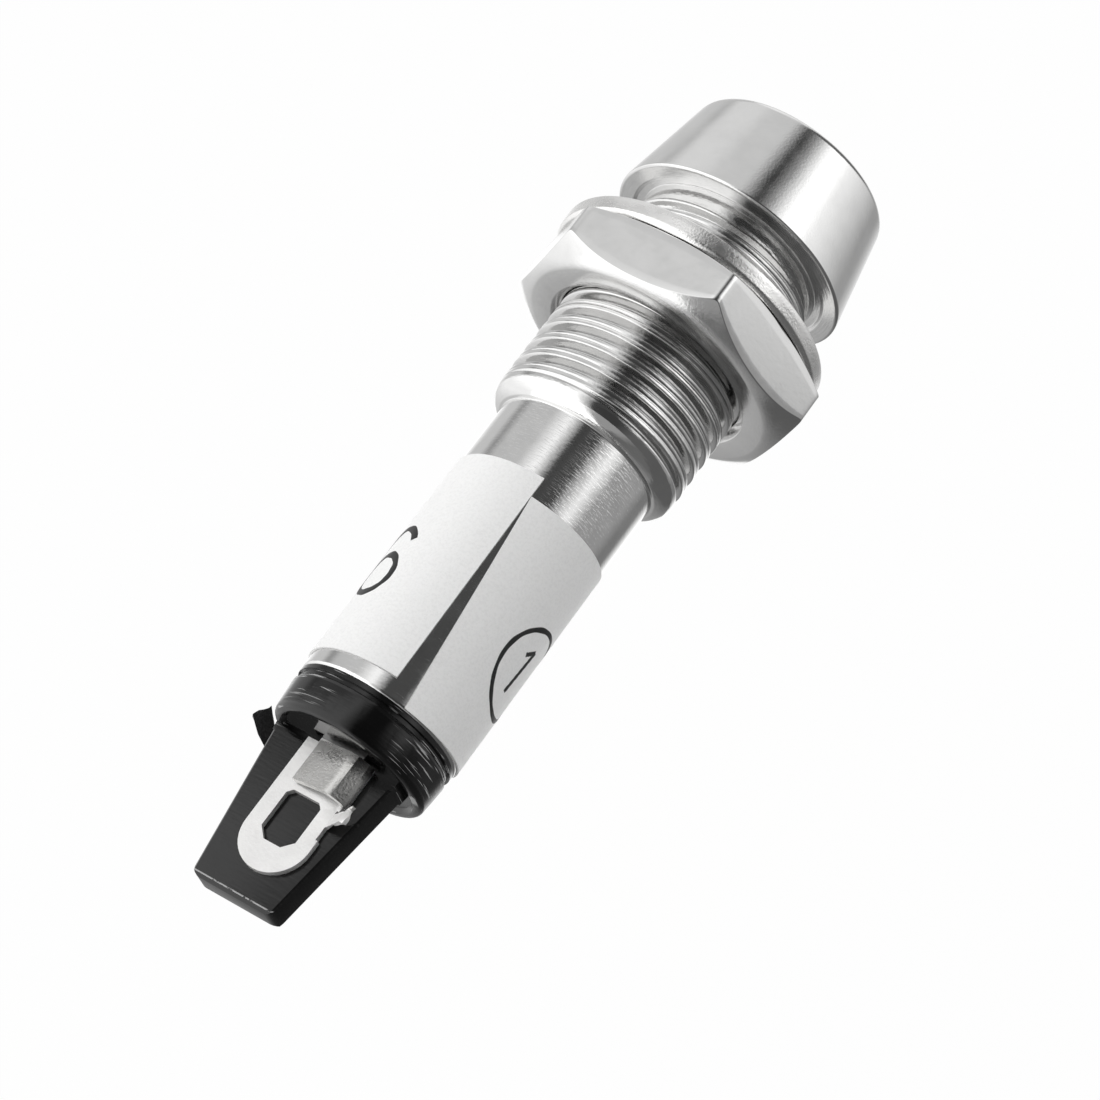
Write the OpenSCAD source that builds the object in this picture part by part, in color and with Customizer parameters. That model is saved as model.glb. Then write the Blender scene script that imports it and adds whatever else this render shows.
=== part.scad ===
// Panel pilot light, 10 mm barrel, metal bezel, two solder lugs.
// Frame: millimetres, Z up, the axis along Y. The lens looks along -Y and the
// solder lugs point along +Y. The origin is the centre of the head's rear
// face, the plane that meets the panel.

/* [Bezel head] */
// length of the head in front of the panel
head_len = 5.6; // [4:0.1:9]
// diameter of the head at its front edge
head_front_d = 10.6; // [9.8:0.1:14]
// width of the head's flange at the panel, beyond the thread
head_flange = 1.25; // [0.8:0.05:3]
// radius of the rounded front edge
head_edge = 0.3; // [0.1:0.05:0.6]
// chamfer of the sharp rear rim
head_rim = 0.12; // [0.05:0.01:0.3]
// width of the undercut in the head's rear face, beyond the thread
undercut_w = 0.35; // [0.1:0.05:0.7]
// depth of that undercut
undercut_h = 0.2; // [0.05:0.05:0.4]

/* [Threaded barrel] */
// major diameter of the thread
thread_d = 10; // [9.6:0.1:10.4]
// thread pitch
thread_pitch = 1; // [0.5:0.25:1.25]
// number of thread grooves turned on the barrel
thread_grooves = 11; // [6:1:11]
// depth of a groove
thread_depth = 0.55; // [0.2:0.05:0.65]
// width of the flat left on a crest
thread_crest = 0.26; // [0.2:0.02:0.4]
// width of the flat at a groove's bottom
thread_root = 0.14; // [0.1:0.02:0.2]
// depth of the plain neck beside the head, below the thread's crests
neck_cut = 0.15; // [0.05:0.05:0.4]
// where the thread starts, behind the head's rear face
thread_start = 0.95; // [0.6:0.05:1.4]

/* [Tube] */
// diameter of the plain tube
tube_d = 8.36; // [8:0.02:8.8]
// step from the collar's foot down to the tube
collar_step = 0.14; // [0.06:0.02:0.3]
// length of the rounded collar behind the last crest
collar_len = 0.88; // [0.5:0.02:1.5]
// tube length behind the collar
tube_len = 16; // [12:0.5:24]
// wall of the tube
tube_wall = 0.58; // [0.4:0.02:0.8]
// chamfer on the tube's open end
tube_edge = 0.1; // [0.05:0.01:0.2]

/* [Front bores] */
// width of the rim left round the flared mouth
mouth_rim = 0.55; // [0.35:0.05:0.7]
// depth of the flare
mouth_depth = 0.6; // [0.3:0.1:1]
// how far the mouth flares out beyond the lens's bore
mouth_flare = 0.45; // [0.2:0.05:0.7]
// depth of the lens bore from the front edge
lens_bore_depth = 4.2; // [3.5:0.1:4.6]
// gap all round between the lamp body and its bore
lamp_fit = 0.1; // [0.05:0.05:0.3]
// step that stops the lamp's flange, behind the head's rear face
lamp_stop = 3.7; // [2:0.1:5]

/* [Lens] */
// gap all round between lens and bore
lens_fit = 0.02; // [0.01:0.01:0.05]
// how far the lens top stays behind the front edge
lens_sunk = 0.1; // [0.05:0.05:0.5]
// height of the lens dome
lens_dome = 0.9; // [0.4:0.1:1.2]
// gap all round between the lens cup and the lamp's nose
lens_cup_gap = 0.5; // [0.3:0.1:0.8]
// thickness of the lens under the dome's top
lens_top = 1.1; // [0.8:0.1:1.4]
// chamfer on the lens's rear corner
lens_edge = 0.2; // [0.1:0.05:0.3]

/* [Lamp] */
// diameter of the lamp body
lamp_d = 5; // [4.6:0.05:5.1]
// length of the lamp body, dome to flange
lamp_len = 8.6; // [7.5:0.1:9]
// how far the lamp's flange stands out from its body
lamp_flange_w = 0.4; // [0.25:0.05:0.7]
// thickness of the lamp's flange
lamp_flange_t = 1; // [0.8:0.1:1.4]
// distance between the two lamp leads
lead_gap = 2.72; // [2.7:0.02:3.2]
// side of a lamp lead's square section
lead_side = 0.45; // [0.35:0.05:0.5]
// how deep the leads reach into the lamp body
lead_depth = 4.4; // [3:0.1:5]
// free length of the short lead, to the resistor
lead_short = 4.4; // [3.6:0.1:5]
// diameter of the cup at the end of the negative lead
lamp_cup_d = 1.3; // [1:0.1:1.6]
// length of that cup
lamp_cup_len = 1; // [0.8:0.1:1.2]
// gap between the leads and the resin round them
resin_gap = 0.01; // [0.005:0.005:0.02]

/* [Lamp holder] */
// gap all round between holder and tube bore
holder_fit = 0.02; // [0.01:0.01:0.05]
// length of the holder
holder_len = 3; // [2:0.1:4]
// hole through the holder
holder_hole_d = 3.9; // [3.7:0.1:4.4]
// gap between the holder and the lamp's flange
holder_gap = 0.01; // [0:0.01:0.05]

/* [Resistor] */
// diameter of the resistor's rounded ends
resistor_d = 1.8; // [1.4:0.1:2]
// diameter of its waist
resistor_waist_d = 1.55; // [1.2:0.05:1.8]
// length of the resistor body
resistor_len = 3.6; // [3:0.1:4.5]
// length of one rounded end
resistor_end = 0.8; // [0.6:0.1:1]
// diameter of the resistor's wires
wire_d = 0.42; // [0.3:0.02:0.46]
// free length of the front wire
wire_front = 2.6; // [2:0.1:3.5]
// gap between a wire's end and the part it meets
butt_gap = 0.02; // [0.01:0.01:0.05]

/* [Sleeves] */
// gap all round between the resistor and its sleeve
sleeve_fit = 0.05; // [0.02:0.01:0.2]
// wall of both sleeves
sleeve_wall = 0.2; // [0.15:0.05:0.25]
// overlap of the sleeve past the resistor at each end
sleeve_lap = 1.2; // [0.8:0.1:1.4]
// gap between the long lead's corners and its thin sleeve
lead_sleeve_fit = 0.06; // [0.04:0.01:0.12]
// bare length of the long lead at each end of its sleeve
lead_bare = 3.4; // [3.2:0.1:4]

/* [Solder] */
// thickness of the solder round lamp lead and resistor wire
joint_wall = 0.22; // [0.12:0.01:0.3]
// length of that joint
joint_len = 1.1; // [0.8:0.1:1.3]
// diameter of the joints at the lugs' inner tails
tail_joint_d = 1.5; // [1.3:0.1:1.7]
// length of those joints
tail_joint_len = 0.9; // [0.7:0.1:1]
// gap between solder and the metal inside it
solder_gap = 0.01; // [0.005:0.005:0.02]

/* [Terminal base] */
// how far the base's collar lies in from the tube's surface
base_inset = 0.03; // [0:0.01:0.2]
// how far the collar tapers in towards its rear edge
base_taper = 0.1; // [0.05:0.01:0.3]
// length of the collar
base_len = 2.3; // [1.8:0.1:3.5]
// rounding of the collar's rear edge
base_edge = 0.3; // [0.1:0.05:0.5]
// depth of the thin groove behind the tube's end
base_groove = 0.12; // [0.05:0.01:0.2]
// width of that groove and of the lip before it
base_lip = 0.22; // [0.15:0.01:0.3]
// gap all round between the base's plug and the tube
plug_fit = 0.03; // [0.02:0.01:0.08]
// length of the plug inside the tube
plug_len = 4.6; // [3.5:0.1:6]
// chamfer on the plug's front edge
plug_edge = 0.3; // [0.2:0.05:0.5]
// dish of the collar's rear face
base_dish = 0.2; // [0.1:0.05:0.3]
// width of the raised rim round that dish
base_rim = 0.45; // [0.3:0.05:0.6]

/* [Tongue] */
// width of the tongue at the base
tongue_root_w = 7; // [6.4:0.1:7.2]
// width of the tongue at its tip
tongue_tip_w = 4.7; // [4.2:0.1:6]
// thickness of the tongue
tongue_t = 1.4; // [1.2:0.05:2]
// how far the tongue was moulded off the axis, towards +X
tongue_off = 0.35; // [0:0.05:0.4]
// length of the tongue behind the collar
tongue_len = 7.9; // [7:0.1:10]
// radius of the tip's corners
tongue_corner = 0.5; // [0.3:0.05:0.8]
// chamfer along the tongue's edges
tongue_edge = 0.18; // [0.1:0.02:0.3]

/* [Solder lugs] */
// thickness of the lug metal
lug_t = 0.3; // [0.25:0.05:0.4]
// gap between a lug and the tongue's face
lug_gap = 0.02; // [0:0.01:0.05]
// width of a lug
lug_w = 3.6; // [3.2:0.1:4]
// length of a lug behind the collar
lug_len = 6.5; // [6:0.1:7]
// width of the wire hole
lug_hole_w = 1.95; // [1.6:0.05:2.2]
// length of the wire hole
lug_hole_len = 2.6; // [2:0.1:3]
// cut corners at the hole's far end
lug_hole_far = 0.5; // [0.2:0.05:0.6]
// cut corners at the hole's near end
lug_hole_near = 0.25; // [0.1:0.05:0.4]
// metal left between the hole and the lug's end
lug_end = 1.4; // [1.2:0.1:1.8]
// step where the loop is wider than its leg
lug_nick = 0.12; // [0.05:0.01:0.2]
// width of the stem through the base
stem_w = 2.4; // [2:0.1:3]
// width of the inner tail
tail_w = 1.4; // [1.2:0.1:1.6]
// length of the inner tail in front of the plug
tail_len = 2; // [1.6:0.1:2.4]
// gap round the stem in its slot
slot_fit = 0.02; // [0.01:0.01:0.05]

/* [Lug clamp and hook] */
// length of the folded wire clamp
clamp_len = 2.2; // [1.6:0.1:2.4]
// height of the clamp's ridge above the lug
clamp_rise = 0.9; // [0.7:0.05:1.1]
// width of the clamp
clamp_w = 2.75; // [2.4:0.05:3.2]
// height of the clamp's free edge above the lug
clamp_gap = 0.06; // [0.04:0.01:0.5]
// how far the clamp's fold stands out past the lug's edge
clamp_out = 0.2; // [0.1:0.05:0.3]
// width of the hook's neck
hook_w = 0.6; // [0.4:0.05:0.8]
// reach of the upper hook past the lug's edge
hook_reach = 1; // [0.6:0.1:1.4]
// height of the upper hook's tip above the lug
hook_rise = 0.9; // [0.5:0.1:1.2]
// reach of the lower hook, which is pulled out past the tongue
hook_far_reach = 4.6; // [3:0.1:4.8]
// height of the lower hook's tip
hook_far_rise = 0.5; // [0.3:0.1:0.8]
// where both hooks leave their lugs, behind the collar
hook_at = 2.9; // [2.7:0.1:3.3]
// where the upper hook's tip lies, behind the collar
hook_tip = 2.55; // [2.3:0.05:3]
// where the lower hook's tip lies, behind the collar's rear face
hook_far_tip = -0.75; // [-1:0.05:1]

/* [Paper label] */
// thickness of the paper
label_t = 0.1; // [0.08:0.02:0.2]
// gap between the paper and the tube
label_gap = 0.01; // [0.005:0.005:0.02]
// start of the label behind the collar, at the open seam
label_front = 3.4; // [2.5:0.1:5]
// start of the label on the far side of the seam
label_front_far = 4.5; // [4:0.1:6]
// end of the label at the open seam, before the tube's end
label_rear = 1; // [0.6:0.1:1.5]
// end of the label on the far side of the seam
label_rear_far = 0.08; // [0.05:0.01:0.2]
// direction of the seam round the axis, from +X towards +Z
seam_angle = 113; // [90:1:130]
// angle the seam has opened to at the label's rear edge
seam_open = 15.5; // [8:0.5:25]
// width of the seam at its closed end
seam_slit = 0.06; // [0.04:0.01:0.2]
// small step in the label's edges at the back, where its skew runs out
label_step = 0.06; // [0.04:0.01:0.1]

/* [Washer and nut] */
// gap left for the panel between head and washer
panel_gap = 3.07; // [1:0.01:6]
// how much wider the washer is than the nut across its flats
washer_over = 0.6; // [0.2:0.1:2]
// thickness of the washer
washer_t = 0.97; // [0.8:0.01:1.5]
// gap all round between the washer and the thread
washer_fit = 0.15; // [0.05:0.05:0.4]
// chamfer on the washer's front edge
washer_edge = 0.1; // [0.05:0.01:0.2]
// fall of the washer's rear edge
washer_fall = 0.18; // [0.1:0.01:0.3]
// width of the nut across its flats
nut_af = 14; // [13:0.1:15]
// thickness of the nut
nut_t = 3.06; // [2.5:0.01:5]
// gap all round between the nut's bore and the crests
nut_fit = 0.05; // [0.03:0.01:0.1]
// how far in from the flats the nut's rear flat ring ends
nut_ring_in = 0.55; // [0.2:0.05:0.9]
// fall of the rear chamfer at the corners
nut_fall = 1.08; // [0.6:0.02:1.4]
// how far in from the flats the nut's front ring ends
nut_front_in = 0.15; // [0.05:0.05:0.4]
// fall of the front chamfer at the corners
nut_front_fall = 0.5; // [0.3:0.02:0.8]
// depth and width of the countersink at each end of the bore
nut_sink = 0.36; // [0.2:0.02:0.5]
// turn of the nut on its thread
nut_turn = 6.6; // [0:0.1:60]

/* [Hidden] */
turn_fn = 96;
small_fn = 32;
arc_steps = 5;
dome_steps = 8;
// how far a cutter runs on past what it cuts
overrun = 1;
// how much of the nut's rear chamfer falls in its inner half
nut_dome_share = 0.36;
// how far the nut's chamfers run on past its corners
nut_past_share = 0.2;

head_front_y = -head_len;
thread_r = thread_d / 2;
head_rear_d = thread_d + 2 * head_flange;
neck_r = thread_r - neck_cut;
undercut_r = thread_r + undercut_w;
mouth_d = head_front_d - 2 * mouth_rim;
lens_bore_d = mouth_d - 2 * mouth_flare;
lamp_bore_d = lamp_d + 2 * lamp_fit;
lens_cup_d = lamp_d + 2 * lens_cup_gap;
lamp_flange_d = lamp_d + 2 * lamp_flange_w;
collar_foot_d = tube_d + 2 * collar_step;
tube_bore_d = tube_d - 2 * tube_wall;
base_d = tube_d - 2 * base_inset;
base_rear_d = base_d - 2 * base_taper;
thread_end = thread_start + thread_grooves * thread_pitch;
groove_slope = (thread_pitch - thread_crest - thread_root) / 2;
collar_y = thread_end + thread_crest;
collar_end = collar_y + collar_len;
tube_end = collar_end + tube_len;
lens_bore_end = head_front_y + lens_bore_depth;

lamp_rear = lamp_stop + lamp_flange_t;
lamp_front = lamp_rear - lamp_len;
lead_z = lead_gap / 2;
short_end = lamp_rear + lead_short;
wire_start = short_end + butt_gap;
resistor_front = wire_start + wire_front;
resistor_rear = resistor_front + resistor_len;
holder_front = lamp_rear + holder_gap;

plug_front = tube_end - plug_len;
tail_front = plug_front - tail_len;
tail_joint_front = tail_front + solder_gap;
tail_joint_rear = tail_joint_front + tail_joint_len;
lead_across = lead_side * sqrt(2);
joint_bore_d = max(lead_across, wire_d) + 2 * solder_gap;
joint_d = joint_bore_d + 2 * joint_wall;
sleeve_bore_d = resistor_d + 2 * sleeve_fit;
lead_sleeve_bore_d = lead_across + 2 * lead_sleeve_fit;
base_end = tube_end + base_len;
tongue_end = base_end + tongue_len;
lug_z0 = tongue_t / 2 + lug_gap;
lug_z1 = lug_z0 + lug_t;
lug_tip = base_end + lug_len;
lug_half = lug_w / 2;
hole_end = lug_tip - lug_end;
hole_start = hole_end - lug_hole_len;
long_end = tail_joint_rear;

washer_y = panel_gap;
nut_front = washer_y + washer_t;
nut_rear = nut_front + nut_t;
nut_corner_r = nut_af / sqrt(3);
nut_ring_d = nut_af - 2 * nut_ring_in;
nut_front_d = nut_af - 2 * nut_front_in;
washer_d = nut_af + washer_over;
washer_bore_d = thread_d + 2 * washer_fit;

// points of an arc from angle a0 to a1 round (x, y), as [radius, y] pairs
function arc(x, y, r, a0, a1) =
    [for (i = [0:arc_steps]) let (a = a0 + (a1 - a0) * i / arc_steps)
        [x + r * cos(a), y + r * sin(a)]];

// a quarter ellipse from (r0, y0) to (r1, y1), bulging away from the axis
function quarter(r0, y0, r1, y1) =
    [for (i = [0:arc_steps]) let (a = 90 * i / arc_steps)
        [r1 + (r0 - r1) * cos(a), y0 + (y1 - y0) * sin(a)]];

// turns a profile of [radius, y] points about the Y axis
module turned(profile, fn = turn_fn)
    rotate([-90, 0, 0])
        rotate_extrude($fn = fn)
            polygon([for (p = profile) [max(p[0], 0), p[1]]]);

// a rod along Y at height z, of diameter d, from y0 to y1
module rod(d, y0, y1, z = 0, fn = small_fn)
    translate([0, y0, z])
        rotate([-90, 0, 0])
            cylinder(d = d, h = y1 - y0, $fn = fn);

// a box given by its lower and upper corners
module block(a, b)
    translate(a)
        cube(b - a);

// sweeps a child drawn in X and Z along Y from y0 to y1
module along_y(y0, y1)
    translate([0, y1, 0])
        rotate([90, 0, 0])
            linear_extrude(height = y1 - y0)
                children();

// lifts a child drawn in X and Y from z0 to z1
module lifted(z0, z1)
    translate([0, 0, z0])
        linear_extrude(height = z1 - z0)
            children();

// one groove's four points on the barrel's profile
function groove(i) = let (y = thread_start + thread_crest + i * thread_pitch)
    [[thread_r, y],
     [thread_r - thread_depth, y + groove_slope],
     [thread_r - thread_depth, y + groove_slope + thread_root],
     [thread_r, y + thread_pitch - thread_crest]];

// the turned brass body: head, threaded barrel, collar and tube in one piece
module body_shell() {
    outer = concat(
        [[mouth_d / 2, head_front_y]],
        arc(head_front_d / 2 - head_edge, head_front_y + head_edge, head_edge, -90, 0),
        [[head_rear_d / 2, -head_rim],
         [head_rear_d / 2 - head_rim, 0],
         [undercut_r, 0],
         [undercut_r - undercut_h / 2, -undercut_h],
         [neck_r, -undercut_h],
         [neck_r, thread_start - neck_cut],
         [thread_r, thread_start]],
        [for (i = [0:thread_grooves - 1]) each groove(i)],
        quarter(thread_r, collar_y, collar_foot_d / 2, collar_end),
        [[tube_d / 2, collar_end],
         [tube_d / 2, tube_end - tube_edge],
         [tube_d / 2 - tube_edge, tube_end]]);
    inner = [[tube_bore_d / 2, tube_end],
        [tube_bore_d / 2, lamp_stop],
        [lamp_bore_d / 2, lamp_stop],
        [lamp_bore_d / 2, lens_bore_end],
        [lens_bore_d / 2, lens_bore_end],
        [lens_bore_d / 2, head_front_y + mouth_depth]];
    color("silver")
        turned(concat(outer, inner));
}

// the red lens: a thick cup with a low dome, pressed into the head
module lens() {
    r = lens_bore_d / 2 - lens_fit;
    top = head_front_y + lens_sunk;
    dome = [for (i = [0:dome_steps]) let (s = i / dome_steps)
        [r * s, top + lens_dome * s * s]];
    color([0.75, 0.05, 0.05])
        turned(concat(dome,
            [[r, lens_bore_end - lens_edge],
             [r - lens_edge, lens_bore_end],
             [lens_cup_d / 2, lens_bore_end],
             [lens_cup_d / 2, top + lens_top + lens_edge],
             [lens_cup_d / 2 - lens_edge, top + lens_top],
             [0, top + lens_top]]));
}

// the lamp's resin body with a round nose and a flange, cast round its leads
module led_bulb() {
    r = lamp_d / 2;
    nose = [for (i = [0:dome_steps]) let (a = 90 * i / dome_steps)
        [r * sin(a), lamp_front + r * (1 - cos(a))]];
    color([0.85, 0.3, 0.3])
        difference() {
            turned(concat(nose,
                [[r, lamp_stop],
                 [lamp_flange_d / 2, lamp_stop],
                 [lamp_flange_d / 2, lamp_rear],
                 [0, lamp_rear]]), 64);
            for (s = [-1, 1])
                lead_box(s, lamp_rear - lead_depth - resin_gap, lamp_rear + overrun, resin_gap);
            rod(lamp_cup_d + 2 * resin_gap, lamp_rear - lead_depth - lamp_cup_len - resin_gap,
                lamp_rear - lead_depth + resin_gap, -lead_z);
        }
}

// a square lead from y0 to y1 on side s, grown by g all round
module lead_box(s, y0, y1, g = 0)
    block([-lead_side / 2 - g, y0, s * lead_z - lead_side / 2 - g],
          [lead_side / 2 + g, y1, s * lead_z + lead_side / 2 + g]);

// the short lead, cut off where the resistor is soldered on
module led_lead_anode()
    color("silver")
        lead_box(1, lamp_rear - lead_depth, short_end);

// the long lead, which runs to the lower lug and carries the chip's cup
module led_lead_cathode()
    color("silver") {
        lead_box(-1, lamp_rear - lead_depth, long_end);
        rod(lamp_cup_d, lamp_rear - lead_depth - lamp_cup_len,
            lamp_rear - lead_depth, -lead_z);
    }

// the plastic ring that keeps the lamp against its step
module lamp_holder() {
    r = tube_bore_d / 2 - holder_fit;
    color([0.15, 0.15, 0.15])
        turned([[holder_hole_d / 2, holder_front],
            [r - plug_edge, holder_front],
            [r, holder_front + plug_edge],
            [r, holder_front + holder_len],
            [holder_hole_d / 2, holder_front + holder_len]], 64);
}

// the series resistor: two rounded ends with a slimmer waist
module resistor_body()
    color([0.75, 0.65, 0.45])
        translate([0, 0, lead_z])
            turned(concat([[0, resistor_front]],
                [for (i = [0:arc_steps]) let (a = 180 * i / arc_steps)
                    [resistor_waist_d / 2 + (resistor_d - resistor_waist_d) / 2 * sin(a),
                     resistor_front + resistor_end * i / arc_steps]],
                [for (i = [0:arc_steps]) let (a = 180 * i / arc_steps)
                    [resistor_waist_d / 2 + (resistor_d - resistor_waist_d) / 2 * sin(a),
                     resistor_rear - resistor_end * (1 - i / arc_steps)]],
                [[0, resistor_rear]]), small_fn);

// the resistor's front wire, butted on the short lead
module resistor_wire_front()
    color("silver")
        rod(wire_d, wire_start, resistor_front, lead_z);

// the resistor's rear wire, which runs to the upper lug's inner tail
module resistor_wire_rear()
    color("silver")
        rod(wire_d, resistor_rear, long_end, lead_z);

// a thin sleeve along Y at height z
module sleeve(bore, y0, y1, z)
    difference() {
        rod(bore + 2 * sleeve_wall, y0, y1, z);
        rod(bore, y0 - overrun, y1 + overrun, z);
    }

// the shrunk sleeve over the resistor
module resistor_sleeve()
    color([0.1, 0.1, 0.1])
        sleeve(sleeve_bore_d, resistor_front - sleeve_lap, resistor_rear + sleeve_lap, lead_z);

// the thin sleeve over the long lead
module lead_sleeve()
    color([0.1, 0.1, 0.1])
        sleeve(lead_sleeve_bore_d, lamp_rear + lead_bare, long_end - lead_bare, -lead_z);

// the solder bead round lamp lead and resistor wire
module solder_resistor()
    color([0.7, 0.7, 0.72])
        difference() {
            translate([0, 0, lead_z])
                turned([[0, short_end - joint_len / 2],
                    [joint_bore_d / 2 + solder_gap, short_end - joint_len / 2],
                    [joint_d / 2, short_end],
                    [joint_bore_d / 2 + solder_gap, short_end + joint_len / 2],
                    [0, short_end + joint_len / 2]], small_fn);
            rod(joint_bore_d, short_end - joint_len, short_end + joint_len, lead_z);
        }

// a solder bead that wraps a lug's inner tail and the wire laid on it
module tail_joint(s)
    color([0.7, 0.7, 0.72])
        difference() {
            rod(tail_joint_d, tail_joint_front, tail_joint_rear, s * lead_z);
            block([-tail_joint_d, tail_joint_front - overrun, s > 0 ? 0 : -lug_z1 - solder_gap],
                  [tail_joint_d, tail_joint_rear + overrun, s > 0 ? lug_z1 + solder_gap : 0]);
            if (s > 0)
                rod(wire_d + 2 * solder_gap, tail_joint_front - overrun,
                    tail_joint_rear + overrun, lead_z);
            else
                lead_box(-1, tail_joint_front - overrun, tail_joint_rear + overrun, solder_gap);
        }

module solder_positive() tail_joint(1);

module solder_negative() tail_joint(-1);

// the tongue's outline in X and Y, with round tip corners
module tongue_plan() {
    r = tongue_corner;
    tip = tongue_tip_w / 2;
    right = [for (i = [0:arc_steps]) let (a = 90 * i / arc_steps)
        [tip - r + r * cos(a), tongue_end - r + r * sin(a)]];
    left = [for (i = [0:arc_steps]) let (a = 90 * i / arc_steps)
        [-(tip - r + r * sin(a)), tongue_end - r + r * cos(a)]];
    polygon(concat([[-tongue_root_w / 2, tube_end], [tongue_root_w / 2, tube_end],
        [tongue_root_w / 2, base_end - base_dish]], right, left,
        [[-tongue_root_w / 2, base_end - base_dish]]));
}

// the black moulded base: plug, collar and the tongue between the lugs
module terminal_base() {
    plug_r = tube_bore_d / 2 - plug_fit;
    slope = atan2((tongue_root_w - tongue_tip_w) / 2, tongue_len);
    far = tongue_len * 2;
    color([0.08, 0.08, 0.08])
        difference() {
            union() {
                turned(concat([[0, plug_front],
                    [plug_r - plug_edge, plug_front],
                    [plug_r, plug_front + plug_edge],
                    [plug_r, tube_end],
                    [base_d / 2, tube_end],
                    [base_d / 2, tube_end + base_lip],
                    [base_d / 2 - base_groove, tube_end + base_lip],
                    [base_d / 2 - base_groove, tube_end + 2 * base_lip],
                    [base_d / 2, tube_end + 3 * base_lip]],
                    arc(base_rear_d / 2 - base_edge, base_end - base_edge, base_edge, 0, 90),
                    [[base_rear_d / 2 - base_rim, base_end],
                     [base_rear_d / 2 - base_rim - base_dish, base_end - base_dish],
                     [0, base_end - base_dish]]));
                lifted(-tongue_t / 2, tongue_t / 2)
                    translate([tongue_off, 0])
                        tongue_plan();
            }
            // slots for the two stems
            for (s = [-1, 1])
                block([-stem_w / 2 - slot_fit, plug_front - overrun,
                       min(s * lug_z0, s * lug_z1) - slot_fit],
                      [stem_w / 2 + slot_fit, base_end + overrun,
                       max(s * lug_z0, s * lug_z1) + slot_fit]);
            // chamfers along the tongue's long edges and across its tip
            for (sx = [-1, 1], sz = [-1, 1]) {
                translate([tongue_off + sx * tongue_tip_w / 2, tongue_end, sz * tongue_t / 2])
                    rotate([0, 0, sx * slope])
                        rotate([0, 45, 0])
                            translate([-tongue_edge / sqrt(2), -tongue_len + base_edge, -tongue_edge / sqrt(2)])
                                cube([tongue_edge * sqrt(2), far, tongue_edge * sqrt(2)]);
            }
            for (sz = [-1, 1])
                translate([0, tongue_end, sz * tongue_t / 2])
                    rotate([45, 0, 0])
                        cube([far, tongue_edge * sqrt(2), tongue_edge * sqrt(2)], center = true);
        }
}

// a lug's flat outline in X and Y: inner tail, stem, loop and wire hole
module lug_plan() {
    cut = lug_hole_far;
    near = lug_hole_near;
    w = lug_hole_w / 2;
    difference() {
        union() {
            translate([-tail_w / 2, tail_front])
                square([tail_w, tail_len + lug_gap]);
            translate([-stem_w / 2, plug_front])
                square([stem_w, base_end - plug_front + lug_gap]);
            translate([-lug_half, base_end + lug_gap])
                square([lug_w, lug_tip - lug_half - base_end - lug_gap]);
            translate([0, lug_tip - lug_half])
                circle(r = lug_half, $fn = turn_fn);
        }
        polygon([[-w + near, hole_start], [w - near, hole_start], [w, hole_start + near],
            [w, hole_end - cut], [w - cut, hole_end], [-w + cut, hole_end],
            [-w, hole_end - cut], [-w, hole_start + near]]);
        // the narrow leg beside the hook
        translate([-lug_half - lug_nick, base_end + clamp_len + 2 * lug_nick])
            square([2 * lug_nick, hole_start + lug_hole_len / 2 - base_end - clamp_len]);
    }
}

// the clamp's folded section in X and Z, a sheet of the lug's thickness
module clamp_section() {
    x0 = -lug_half;
    rise = lug_z1 + clamp_rise;
    edge = lug_z1 + clamp_gap;
    x1 = x0 + clamp_w;
    polygon([
        [x0 + lug_t, lug_z0], [x0 - clamp_out / 2, lug_z0],
        [x0 - clamp_out, lug_z1], [x0 - clamp_out / 2, (lug_z1 + rise) / 2],
        [x0 + clamp_w * 0.14, rise - lug_t * 0.3], [x0 + clamp_w * 0.3, rise],
        [x0 + clamp_w * 0.62, (rise * 0.7 + edge * 0.3) + lug_t * 0.25], [x1, edge + lug_t],
        [x1 - lug_t / 4, edge], [x0 + clamp_w * 0.6, (rise * 0.7 + edge * 0.3) - lug_t * 0.85],
        [x0 + clamp_w * 0.31, rise - lug_t], [x0 + clamp_w * 0.2, rise - lug_t * 1.3],
        [x0 + lug_t - clamp_out / 2, (lug_z1 + rise) / 2 - lug_t / 4],
        [x0 + lug_t - clamp_out, lug_z1 + lug_t / 4], [x0 + lug_t, lug_z1]]);
}

// a hook: a bent strip from the lug's edge out to its tip, flared at the end
module hook(reach, rise, y0, y1) {
    x0 = -lug_half + lug_nick + hook_w / 2;
    slab = lug_t * 0.8;
    n = hook_w / 2;
    // the section leaves the lug flat, climbs and lies over outwards
    module section()
        polygon([[x0, lug_z0], [-lug_half + lug_nick, lug_z0],
            [-lug_half - reach * 0.3, lug_z0 + rise * 0.55],
            [-lug_half - reach, lug_z0 + rise],
            [-lug_half - reach, lug_z0 + rise + slab],
            [-lug_half - reach * 0.35, lug_z0 + rise * 0.55 + slab],
            [-lug_half + lug_nick, lug_z1], [x0, lug_z1]]);
    intersection() {
        along_y(min(y0, y1) - hook_w * 2, max(y0, y1) + hook_w * 2)
            section();
        lifted(0, lug_z1 + rise * 2)
            polygon([[x0, y0 - n], [x0, y0 + n * 1.5], [-lug_half, y0 + n * 1.4],
                [-lug_half - reach * 0.4, (y0 + y1) / 2 + n],
                [-lug_half - reach, y1 + n * 1.2],
                [-lug_half - reach * 0.85, y1 - n * 1.2],
                [-lug_half - reach * 0.45, (y0 + y1) / 2 - n * 0.7],
                [-lug_half, y0 - n]]);
    }
}

// one solder lug of tinned brass, with its clamp and its hook
module terminal(reach, rise, tip) {
    lifted(lug_z0, lug_z1)
        lug_plan();
    along_y(base_end + lug_gap, base_end + clamp_len)
        clamp_section();
    hook(reach, rise, base_end + hook_at, base_end + tip);
}

module terminal_positive()
    color([0.8, 0.8, 0.78])
        terminal(hook_reach, hook_rise, hook_tip);

module terminal_negative()
    color([0.8, 0.8, 0.78])
        rotate([0, 180, 0])
            terminal(hook_far_reach, hook_far_rise, hook_far_tip);

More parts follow.
